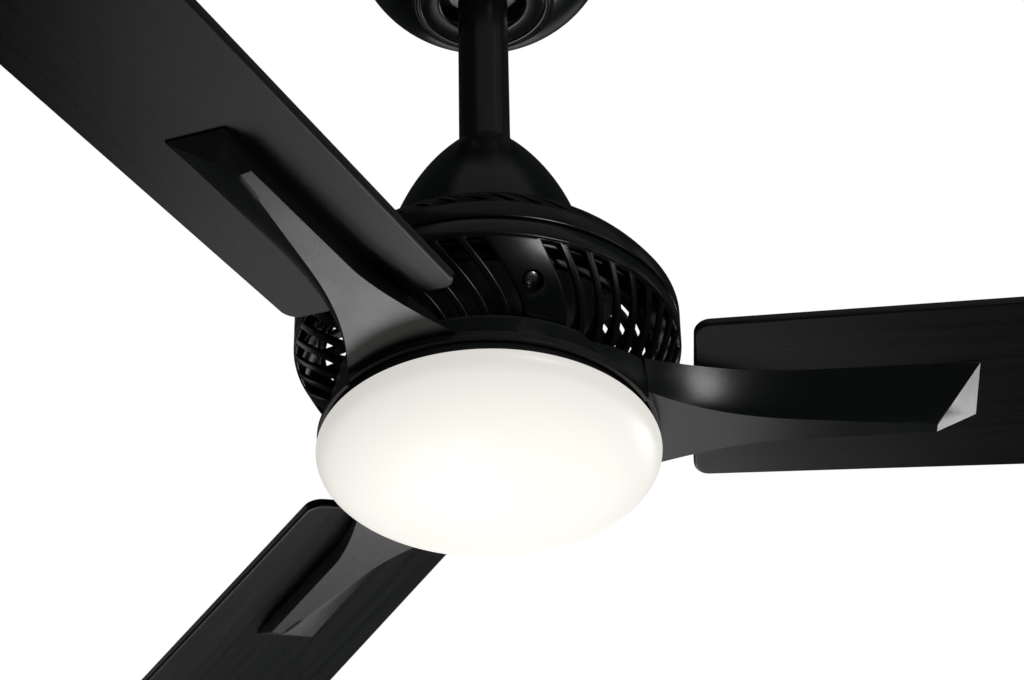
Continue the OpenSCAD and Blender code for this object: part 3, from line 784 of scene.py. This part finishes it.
def under_z(r, t):
    """Height of the arm's flat underside at the same place."""
    return UNDER_Z + UNDER_RISE * r + UNDER_TILT * t


# Sideways places of the arm's edges at distance r: foot on the blade, crest, and far edge.
# The curves are fitted in millimetres; the crest ends at the facet, 218 mm out.
def foot_t(r):
    return (-17.3 - 0.0031 * max(0, 155 - r / MM) ** 1.9) * MM


def crest_t(r):
    x = r / MM
    return (9.6 - 0.157 * (218 - x) - 0.00036 * max(0, 155 - x) ** 2.48) * MM


def far_t(r):
    return (15.3 + 0.0268 * max(0, 140 - r / MM) ** 1.53) * MM


def lip_z(share):
    """Heights of the hub ring's upper and lower edge lines, from a seam on to the next."""
    return (10.5 - 5.5 * share) * MM, (6 - 2 * share) * MM


def arm_rails():
    """Each rail gives the (sideways, height) place of one lengthwise line at distance r."""
    def slope(share):
        def rail(r):
            a, b = foot_t(r), crest_t(r)
            drop = over_z(r, a) - under_z(r, b)
            z = under_z(r, b) + drop * (1 - share) ** SLOPE_CURVE
            return a + (b - a) * share, z
        return rail

    def underside(share):
        def rail(r):
            t = crest_t(r) + (far_t(r) - crest_t(r)) * share
            return t, under_z(r, t)
        return rail

    def wall(share):
        """The far side, which leans in more and more as the arm spreads into the hub."""
        def rail(r):
            c = far_t(r)
            inset = (0.4 + 7.1 * max(0, (130 - r / MM) / 52) ** 2) * MM
            t = c - inset * share ** WALL_CURVE
            return t, under_z(r, c) + (over_z(r, t) - under_z(r, c)) * share
        return rail

    def top(share):
        def rail(r):
            start = wall(1)(r)[0]
            t = start + (foot_t(r) - start) * share
            return t, over_z(r, t)
        return rail

    return (
        [slope(i / SLOPE_STEPS) for i in range(SLOPE_STEPS + 1)]
        + [underside(i / UNDER_STEPS) for i in range(1, UNDER_STEPS + 1)]
        + [wall(i / WALL_STEPS) for i in range(1, WALL_STEPS + 1)]
        + [top(i / TOP_STEPS) for i in range(1, TOP_STEPS)]
    )


def seam_limit(r):
    """How far sideways an arm may reach towards the hub's seam, at distance r."""
    return -math.tan(rad(-SEAM_AZ - SEAM_CLEAR)) * r


def rail_start(rail):
    """Distance at which a rail enters the hub ring."""
    inside = HUB_R - 1.5 * MM
    r = inside
    for _ in range(40):
        t = max(rail(r)[0], seam_limit(r))
        r = math.sqrt(inside ** 2 - t * t)
    return r


def arm_shape():
    """One arm, in its own frame: x out along it, y sideways, z over the rim."""
    rails = arm_rails()
    starts = [rail_start(rail) for rail in rails]
    stations = 44
    rings = []
    for i in range(stations + 1):
        share = (i / stations) ** 1.25
        ring = []
        for rail, start in zip(rails, starts):
            r = start + (FACET_X - start) * share
            t, z = rail(r)
            ring.append(Vector((r, max(t, seam_limit(r)), z)))
        rings.append(ring)
    verts, faces = loft(rings)
    faces.pop()
    base = stations * len(rails)
    # Places in arm_rails() of the crest, the far edge and the wall's top
    crest = SLOPE_STEPS
    far = crest + UNDER_STEPS
    top = far + WALL_STEPS
    foot_end = Vector((ARM_TIP_X, foot_t(FACET_X), over_z(ARM_TIP_X, foot_t(FACET_X))))
    far_end = Vector((ARM_TIP_X, far_t(FACET_X), over_z(ARM_TIP_X, far_t(FACET_X))))
    low = Vector((0, 0, -0.9 * MM))
    ridge = verts[base + crest]
    edge = []
    for i in range(crest):
        edge.append(len(verts))
        verts.append(foot_end + low + (ridge - foot_end - low) * i / crest)
    edge.append(base + crest)
    foot_top, far_low, far_top = len(verts), len(verts) + 1, len(verts) + 2
    verts += [foot_end, far_end + low, far_end]
    for i in range(crest):
        quad = (base + i, base + i + 1, edge[i + 1], edge[i])
        faces.append(tuple(dict.fromkeys(quad)))
    faces.append(tuple(edge + [base + i for i in range(crest + 1, far + 1)] + [far_low]))
    faces.append(tuple([base + i for i in range(far, top + 1)] + [far_top, far_low]))
    faces.append((edge[0], far_low, far_top, foot_top))
    faces.append(tuple([base + i for i in range(top, len(rails))] + [base, foot_top, far_top]))
    faces.append((base, edge[0], foot_top))
    return verts, faces


def blend(value, stops):
    """Straight-line interpolation through (position, value) stops."""
    for (a, p), (b, q) in zip(stops, stops[1:]):
        if value <= b:
            return p + (q - p) * max(0, (value - a) / (b - a))
    return stops[-1][1]


def hub_wall(share, foot, upper):
    """A point of the ring's curved wall, from its foot (share 0) to its top (share 1)."""
    r = foot - (foot - HUB_TOP_R) * share ** WALL_CURVE
    return r, upper + 0.2 * MM + (HUB_TOP_Z - upper - 0.5 * MM) * share


def root_line(az, foot, upper):
    """Where the next arm's root meets the ring's wall, and the root's top edge, at azimuth az."""
    share = blend(az, ROOT_SHARE)
    crease_r, crease_z = hub_wall(share, foot, upper)
    top_r, top_z = blend(az, ROOT_TOP_R), blend(az, ROOT_TOP_Z)
    return share, (crease_r, crease_z), (top_r, max(top_z, crease_z + 0.2 * MM))


def hub_shape():
    """One third of the hub ring and its flange, with the next arm's root laid over its end."""
    steps = 120
    rings = []
    for i in range(steps + 1):
        share = i / steps
        az = SEAM_AZ + SEAM_GAP + (120 - SEAM_GAP) * share
        upper, lower = lip_z(share)
        outline = [
            (FLANGE_R, FLANGE_Z), (HUB_IN_R - 2.1 * MM, FLANGE_Z), (HUB_IN_R, FLANGE_Z - 2 * MM),
            (HUB_IN_R, lower + 0.3 * MM), (HUB_IN_R + 0.3 * MM, lower), (HUB_R - 0.3 * MM, lower),
            (HUB_R, lower + 0.3 * MM), (HUB_R, upper - 0.25 * MM), (HUB_R - 0.25 * MM, upper),
            (HUB_R - 0.7 * MM, upper + 0.1 * MM),
        ]
        foot = HUB_R - 0.8 * MM
        crease, (low_r, low_z), (top_r, top_z) = root_line(az, foot, upper)
        outline += [hub_wall(crease * k / 8, foot, upper) for k in range(9)]
        for k in range(1, 5):
            w = k / 4
            swell = 0.5 * MM * (1 - crease) * math.sin(math.pi * w)
            outline.append((low_r + (top_r - low_r) * w + swell, low_z + (top_z - low_z) * w))
        outline += [
            (top_r - 0.5 * MM, top_z + 0.3 * MM), (top_r - 3.3 * MM, top_z + 0.3 * MM),
            (HUB_TOP_R - 5.5 * MM, FLYWHEEL_Z), (FLANGE_R, FLYWHEEL_Z),
        ]
        rings.append([
            Vector((r * math.cos(rad(az)), r * math.sin(rad(az)), z)) for r, z in outline
        ])
    return loft(rings)


def arm_place(k):
    return turned(ARM_AZ + 120 * k) @ Matrix.Translation((0, 0, RIM_Z))


def blade_place(k):
    """The blade's own frame: x outwards and z = 0 on its underside."""
    rise = Matrix.Rotation(rad(-BLADE_RISE), 4, "Y")
    pitch = Matrix.Rotation(rad(-BLADE_PITCH), 4, "X")
    return arm_place(k) @ Matrix.Translation((0, 0, BLADE_Z)) @ rise @ pitch


def arms():
    whole = join(arm_shape(), hub_shape())
    for k in range(3):
        name, node = f"arm_casting_{k + 1}", f"blade_arm_{k + 1}"
        piece(name, whole, "rotor", "cast_black", [node], 0.35 * MM, 3, 24, arm_place(k))
    shape = screw_shape(2.2 * MM, 15 * MM, 4 * MM, 2 * MM)
    places = [
        turned(ARM_AZ + 60 * k - SEAM_AZ) @ Matrix.Translation((BOLT_R, 0, FLANGE_Z + RIM_Z))
        for k in range(6)
    ]
    screws("arm_screws_fine", "rotor", "plated_steel", "arm_screws", shape, places)


# ---------- Blades ----------
def blade_shape():
    root_x, root_w, root_c = 100 * MM, 98.4 * MM, 8 * MM
    tip_x, tip_w, tip_c = 657 * MM, 126 * MM, 22 * MM
    shift = -0.7 * MM
    outline = []

    def corner(x, y, r, start):
        for i in range(13):
            a = rad(start + 90 * i / 12)
            outline.append((x + r * math.cos(a), y + shift + r * math.sin(a)))

    corner(tip_x - tip_c, tip_w / 2 - tip_c, tip_c, 0)
    corner(root_x + root_c, root_w / 2 - root_c, root_c, 90)
    corner(root_x + root_c, root_c - root_w / 2, root_c, 180)
    corner(tip_x - tip_c, tip_c - tip_w / 2, tip_c, 270)
    low = [Vector((x, y, 0)) for x, y in outline]
    high = [Vector((x, y, BLADE_T)) for x, y in outline]
    return loft([low, high])


def blades():
    shape = blade_shape()
    for k in range(3):
        name, node = f"blade_wood_{k + 1}", f"blade_{k + 1}"
        piece(name, shape, "rotor", "blade_black", [node], 1.3 * MM, 5, 40, blade_place(k))
    screw = screw_shape(2 * MM, 11 * MM, 4.4 * MM, 1.8 * MM)
    turn = Matrix.Rotation(math.pi, 4, "X")
    places = [
        blade_place(k) @ Matrix.Translation((x, 0, BLADE_T)) @ turn
        for k in range(3) for x in BLADE_HOLES
    ]
    screws("blade_screws_fine", "rotor", "black_paint", "blade_screws", screw, places)


# ---------- Rod, cover and canopy ----------
def coupling_cover():
    head, foot = (ROD_R + 3.1 * MM, COVER_TOP_Z - 1 * MM), (COVER_R, TOP_Z)
    bulge, wall = 6.6 * MM, 1.4 * MM
    outer = [tuple(p) for p in arc(head, foot, bulge, 40)]
    inner = [tuple(p) for p in arc(head, foot, bulge, 40, wall)]
    inner[-1] = (COVER_R - wall, TOP_Z)
    outline = outer + inner[::-1] + [
        (ROD_R + 0.5 * MM, COVER_TOP_Z - 2.2 * MM), (ROD_R + 0.5 * MM, COVER_TOP_Z - 0.4 * MM),
        (ROD_R + 0.9 * MM, COVER_TOP_Z), (ROD_R + 2 * MM, COVER_TOP_Z),
        (ROD_R + 2.7 * MM, COVER_TOP_Z - 0.3 * MM),
    ]
    shape = lathe(outline, 192)
    piece("coupling_dome", shape, "pendulum", "black_paint", ["coupling_cover"], angle=40)


def downrod():
    low, high = rod_low.z - RIM_Z, rod_high.z - RIM_Z
    bore, soft = 11.4 * MM, 0.5 * MM
    outline = [
        (bore, low + soft), (bore + soft, low), (ROD_R - soft, low), (ROD_R, low + soft),
        (ROD_R, high - soft), (ROD_R - soft, high), (bore + soft, high), (bore, high - soft),
    ]
    piece("downrod_tube", lathe(outline, 96), "pendulum", "black_paint", ["downrod"], angle=40)


def canopy():
    foot_r, lip_r, wall, roll_r = 36.4 * MM, 33.5 * MM, 1.2 * MM, 0.55 * MM
    height = CEILING_Z - CANOPY_Z
    half = height / math.sqrt(1 - (foot_r / CANOPY_R) ** 2)

    def side(inset, low):
        points = []
        for i in range(33):
            z = low + (CEILING_Z - low) * i / 32
            points.append((CANOPY_R * math.sqrt(1 - ((CEILING_Z - z) / half) ** 2) - inset, z))
        return points

    roll = []
    for a in range(0, 181, 20):
        r = lip_r + (foot_r - lip_r) * (0.5 - 0.5 * math.cos(rad(a)))
        roll.append((r, CANOPY_Z + roll_r * (1 - math.sin(rad(a)))))
    outline = side(0, CANOPY_Z + roll_r) + side(wall, CANOPY_Z + 1.6 * MM)[::-1]
    outline += [(lip_r, CANOPY_Z + 1.6 * MM)] + roll
    piece("canopy_shell", lathe(outline, 192), "root", "black_paint", ["canopy"], angle=50)
    hole = 22.7 * MM
    low, step = CANOPY_Z + 0.35 * MM, lip_r - 0.15 * MM
    plate = [
        (hole, low + 1.2 * MM), (hole + 0.25 * MM, low + 0.45 * MM),
        (hole + 1.0 * MM, low + 0.05 * MM), (hole + 2 * MM, low),
        (step - 0.5 * MM, low), (step, low + 0.4 * MM), (step, CANOPY_Z + 1.7 * MM),
        (step + 3.5 * MM, CANOPY_Z + 1.7 * MM), (step + 3.5 * MM, CANOPY_Z + 2.5 * MM),
        (hole + 0.4 * MM, CANOPY_Z + 2.5 * MM), (hole, CANOPY_Z + 2.1 * MM),
    ]
    piece("canopy_ring", lathe(plate, 144), "root", "black_paint", ["canopy_plate"], angle=50)
    shape = screw_shape(1.9 * MM, 11 * MM, 3.6 * MM, 1.8 * MM)
    screw_low, screw_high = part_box("canopy_screws")
    seat_x, seat_z = screw_high.x - 1.8 * MM, (screw_low.z + screw_high.z) / 2
    inward = Matrix.Rotation(rad(-90), 4, "Y")
    places = [turned(a) @ Matrix.Translation((seat_x, 0, seat_z)) @ inward for a in (0, 180)]
    screws("canopy_screws_fine", "root", "black_paint", "canopy_screws", shape, places)


def leads():
    """Three insulated leads, laid around each other down the rod and the hollow shaft."""
    low, high = lead_low.z, lead_high.z
    beside = Vector((6.1 * MM, 6.1 * MM, 0))
    straight_z, turn_z = 150 * MM + RIM_Z, 166 * MM + RIM_Z
    lay, wire_r, apart, steps = 60 * MM, 1.1 * MM, 1.25 * MM, 150
    for n, (colour, mat) in enumerate(LEAD_COLORS.items()):
        points = []
        for i in range(steps + 1):
            z = low + (high - low) * i / steps
            share = min(1, max(0, (z - straight_z) / (turn_z - straight_z)))
            centre = beside * (share * share * (3 - 2 * share))
            a = 2 * math.pi * (z / lay + n / 3)
            points.append(centre + Vector((apart * math.cos(a), apart * math.sin(a), z)))
        shape = tube(points, wire_r, 10)
        lead = piece(f"lead_{colour}", shape, "pendulum", "lead_sheath", ["lead_bundle"])
        lead.data.materials[0] = mat


# ---------- Light ----------
def diffuser():
    neck_r, wall, mid = 73 * MM, 2.2 * MM, -3 * MM
    shoulder = 3.2 * MM
    deep = LAMP_DEPTH + mid
    outline = [(neck_r, NECK_H - 0.3 * MM), (neck_r, 0.6 * MM), (neck_r + 0.6 * MM, 0)]
    for i in range(9):
        a = rad(90 * i / 8)
        outline.append((LAMP_R - shoulder + shoulder * math.sin(a), mid - mid * math.cos(a)))
    for i in range(1, 41):
        a = rad(90 * i / 40)
        outline.append((LAMP_R * math.cos(a), mid - deep * math.sin(a)))
    for i in range(40, -1, -1):
        a = rad(90 * i / 40)
        outline.append(((LAMP_R - wall) * math.cos(a), mid - (deep - wall) * math.sin(a)))
    outline += [
        (LAMP_R - wall - 1 * MM, -wall), (neck_r - wall, -wall),
        (neck_r - wall, NECK_H - 0.3 * MM), (neck_r - wall + 0.3 * MM, NECK_H),
        (neck_r - 0.3 * MM, NECK_H),
    ]
    lug_w = 16
    lug = [
        (neck_r - 0.5 * MM, 3.2 * MM), (neck_r + 3 * MM, 3.2 * MM), (neck_r + 3.3 * MM, 3.5 * MM),
        (neck_r + 3.3 * MM, 4.5 * MM), (neck_r + 3 * MM, NECK_H), (neck_r - 0.5 * MM, NECK_H),
    ]
    lugs = [lathe(lug, 12, az - lug_w / 2, lug_w) for az in thirds(0)]
    whole = join(lathe(outline, 192), *lugs)
    piece("diffuser_bowl", whole, "lamp", "opal", ["diffuser"], angle=40)


# ---------- Motor parts ----------
def windings():
    """The coils' end turns: a bundle at each end of the core, lobed over the teeth."""
    core_low, core_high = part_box("stator_core")
    ring_low, ring_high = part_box("stator_windings")
    mid_r, half_w, lobes, steps = 35.5 * MM, 8.3 * MM, 18, 288
    parts = []
    for z0, z1 in ((ring_low.z, core_low.z), (core_high.z, ring_high.z)):
        mid_z, half_h = (z0 + z1) / 2, (z1 - z0) / 2 - 0.05 * MM
        rings = []
        for j in range(steps):
            az = 360 * j / steps
            swell = 0.84 + 0.16 * abs(math.cos(rad(az * lobes / 2)))
            ring = []
            for k in range(20):
                a = 2 * math.pi * k / 20
                c, s = math.cos(a), math.sin(a)
                r = mid_r + half_w * swell * math.copysign(abs(c) ** 0.7, c)
                z = mid_z + half_h * swell * math.copysign(abs(s) ** 0.7, s)
                ring.append(Vector((r * math.cos(rad(az)), r * math.sin(rad(az)), z)))
            rings.append(ring)
        parts.append(loft(rings, closed=True))
    piece("coil_end_turns", join(*parts), "pendulum", "copper", ["stator_windings"])


# Name, body, CAD node, (shank radius, length, head radius, head height) in mm, (circle's
# radius in mm, first azimuth, step, count), and whether the screw points up
SMALL_SCREWS = (
    ("coupling_screws_fine", "pendulum", "coupling_screws",
     (2.2, 11, 4, 2.6), (24, 30, 120, 3), False),
    ("flywheel_screws_fine", "rotor", "flywheel_screws",
     (2, 11, 4, 2.6), (44, 45, 90, 4), True),
    ("board_screws_fine", "pendulum", "led_board_screws",
     (1.5, 3, 2.6, 1.4), (50, 30, 120, 3), True),
)


def small_screws():
    for name, body, node, sizes, (circle, first, step, count), up in SMALL_SCREWS:
        low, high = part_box(node)
        shank, length, head_r, head_h = [v * MM for v in sizes]
        seat = low.z + head_h if up else high.z - head_h
        flip = Matrix.Identity(4) if up else Matrix.Rotation(math.pi, 4, "X")
        move = Matrix.Translation((circle * MM, 0, seat))
        places = [turned(first + step * k) @ move @ flip for k in range(count)]
        shape = screw_shape(shank, length, head_r, head_h)
        screws(name, body, "plated_steel", node, shape, places)


def carried_over():
    """CAD nodes that keep their own shape get their material and softened edges."""
    slots = {part["node"]: part["material_slot"] for part in frame["record"]["subparts"]}
    for name, obj in frame["nodes"].items():
        if obj.hide_render:
            continue
        obj.data.materials.clear()
        obj.data.materials.append(MATERIALS[slots[name]])
        obj.data.shade_smooth()
        obj.data.set_sharp_from_angle(angle=rad(30))
        if name not in ("leds", "rotor_magnets"):
            bevel(obj, 0.25 * MM, 2, 40)


# ---------- Room ----------
def look(obj, target):
    obj.rotation_mode = "QUATERNION"
    obj.rotation_quaternion = (target - obj.location).to_track_quat("-Z", "Y")


def camera():
    """At the photograph's angle: below the fan, in front of it, looking up."""
    data = bpy.data.cameras.new("camera")
    data.lens, data.sensor_width = 105.83, 36
    data.clip_start, data.clip_end = 0.05, 100
    cam = bpy.data.objects.new("camera", data)
    bpy.context.scene.collection.objects.link(cam)
    yaw, pitch, roll = rad(0.55), rad(37.17), rad(-1.19)
    flat = math.cos(pitch)
    ahead = Vector((math.sin(yaw) * flat, math.cos(yaw) * flat, math.sin(pitch)))
    level = Vector((math.cos(yaw), -math.sin(yaw), 0))
    up = level.cross(ahead)
    side = level * math.cos(roll) + up * math.sin(roll)
    top = up * math.cos(roll) - level * math.sin(roll)
    turn = Matrix((side, top, -ahead)).transposed().to_4x4()
    cam.matrix_world = Matrix.Translation((0.0007, -1.18735, -1.18589)) @ turn
    bpy.context.scene.camera = cam


def softbox(name, azimuth, elevation, distance, size, radiance):
    """A soft round light that faces the fan. Azimuth 0 is behind it and 90 on its right."""
    aim = Vector((0, 0, -0.3))
    data = bpy.data.lights.new(name, "AREA")
    data.shape = "DISK"
    data.size = size
    data.energy = radiance * math.pi * math.pi * (size / 2) ** 2
    obj = bpy.data.objects.new(name, data)
    bpy.context.scene.collection.objects.link(obj)
    a, e = rad(azimuth), rad(elevation)
    toward = Vector((math.sin(a) * math.cos(e), math.cos(a) * math.cos(e), math.sin(e)))
    obj.location = aim + toward * distance
    look(obj, aim)
    obj.visible_camera = False


# Name, azimuth, elevation, distance, width, and radiance
LIGHTS = (
    ("key_right", 148, -4, 3.0, 1.1, 7.5),
    ("key_low", 146, -15, 3.0, 1.0, 0.4),
    ("high_right", 112, 36, 3.0, 1.8, 0.12),
    ("top_front", 168, 58, 3.0, 3.6, 0.13),
    ("low_right", 50, -25, 3.0, 0.9, 9.5),
    ("right", 112, 0, 3.0, 1.2, 1.1),
    ("left", -48, 16, 3.0, 1.0, 0.5),
    ("low_left", -60, -40, 3.0, 1.2, 0.08),
    ("back", 20, 20, 3.0, 1.0, 0.2),
    ("behind", 0, 12, 3.0, 1.6, 0.4),
    ("back_right", 75, 30, 3.0, 1.2, 0.15),
    ("back_left", -75, 20, 3.0, 1.2, 0.3),
    ("under_back", 0, -40, 3.0, 1.28, 0.1),
    ("under_far", -9.5, -44.6, 0.854, 0.26, 4.6),
    ("under_mid", -9.5, -33.3, 0.728, 0.26, 0.82),
    ("under_blade", -26.6, -21.7, 0.65, 0.26, 0.58),
    ("under_left", -45, -43.3, 0.583, 0.26, 0.5),
    ("under_right", 26.6, -53.3, 0.748, 0.26, 0.44),
    ("under_near", 11.3, -44.4, 0.357, 0.26, 1.0),
)


def lights():
    for light in LIGHTS:
        softbox(*light)


def room():
    """A pale floor well under the fan and a white surround that lights it only a little."""
    world = bpy.data.worlds.new("surround")
    bpy.context.scene.world = world
    world.use_nodes = True
    nodes, links = world.node_tree.nodes, world.node_tree.links
    nodes["Background"].inputs["Color"].default_value = (0.9, 1.0, 1.0, 1)
    nodes["Background"].inputs["Strength"].default_value = 0.02
    white = nodes.new("ShaderNodeBackground")
    white.inputs["Color"].default_value = (1, 1, 1, 1)
    white.inputs["Strength"].default_value = 1.0
    seen = nodes.new("ShaderNodeLightPath")
    mix = nodes.new("ShaderNodeMixShader")
    links.new(seen.outputs["Is Camera Ray"], mix.inputs["Fac"])
    links.new(nodes["Background"].outputs["Background"], mix.inputs[1])
    links.new(white.outputs["Background"], mix.inputs[2])
    links.new(mix.outputs["Shader"], nodes["World Output"].inputs["Surface"])

    half, floor_z = 6, -2.44
    corners = [(x * half, y * half, floor_z) for x, y in ((-1, -1), (1, -1), (1, 1), (-1, 1))]
    floor = bpy.data.objects.new("floor", new_mesh("floor", corners, [(0, 1, 2, 3)]))
    bpy.context.scene.collection.objects.link(floor)
    pale = material("pale_floor", (0.86, 0.86, 0.85), 0.6)
    color = tint(pale, noise(pale, 3, 3), (0.84, 0.84, 0.83), (0.88, 0.88, 0.87))
    wire(pale, color, shader_of(pale), "Base Color")
    shader_of(pale).inputs["Emission Color"].default_value = (1, 1, 1, 1)
    shader_of(pale).inputs["Emission Strength"].default_value = 0.85
    floor.data.materials.append(pale)
    floor.visible_diffuse = False
    floor.visible_glossy = False
    floor.visible_shadow = False
    bpy.context.scene.view_settings.view_transform = "Standard"


camera()
room()
lights()
housing()
arms()
blades()
coupling_cover()
downrod()
canopy()
leads()
diffuser()
windings()
small_screws()
carried_over()
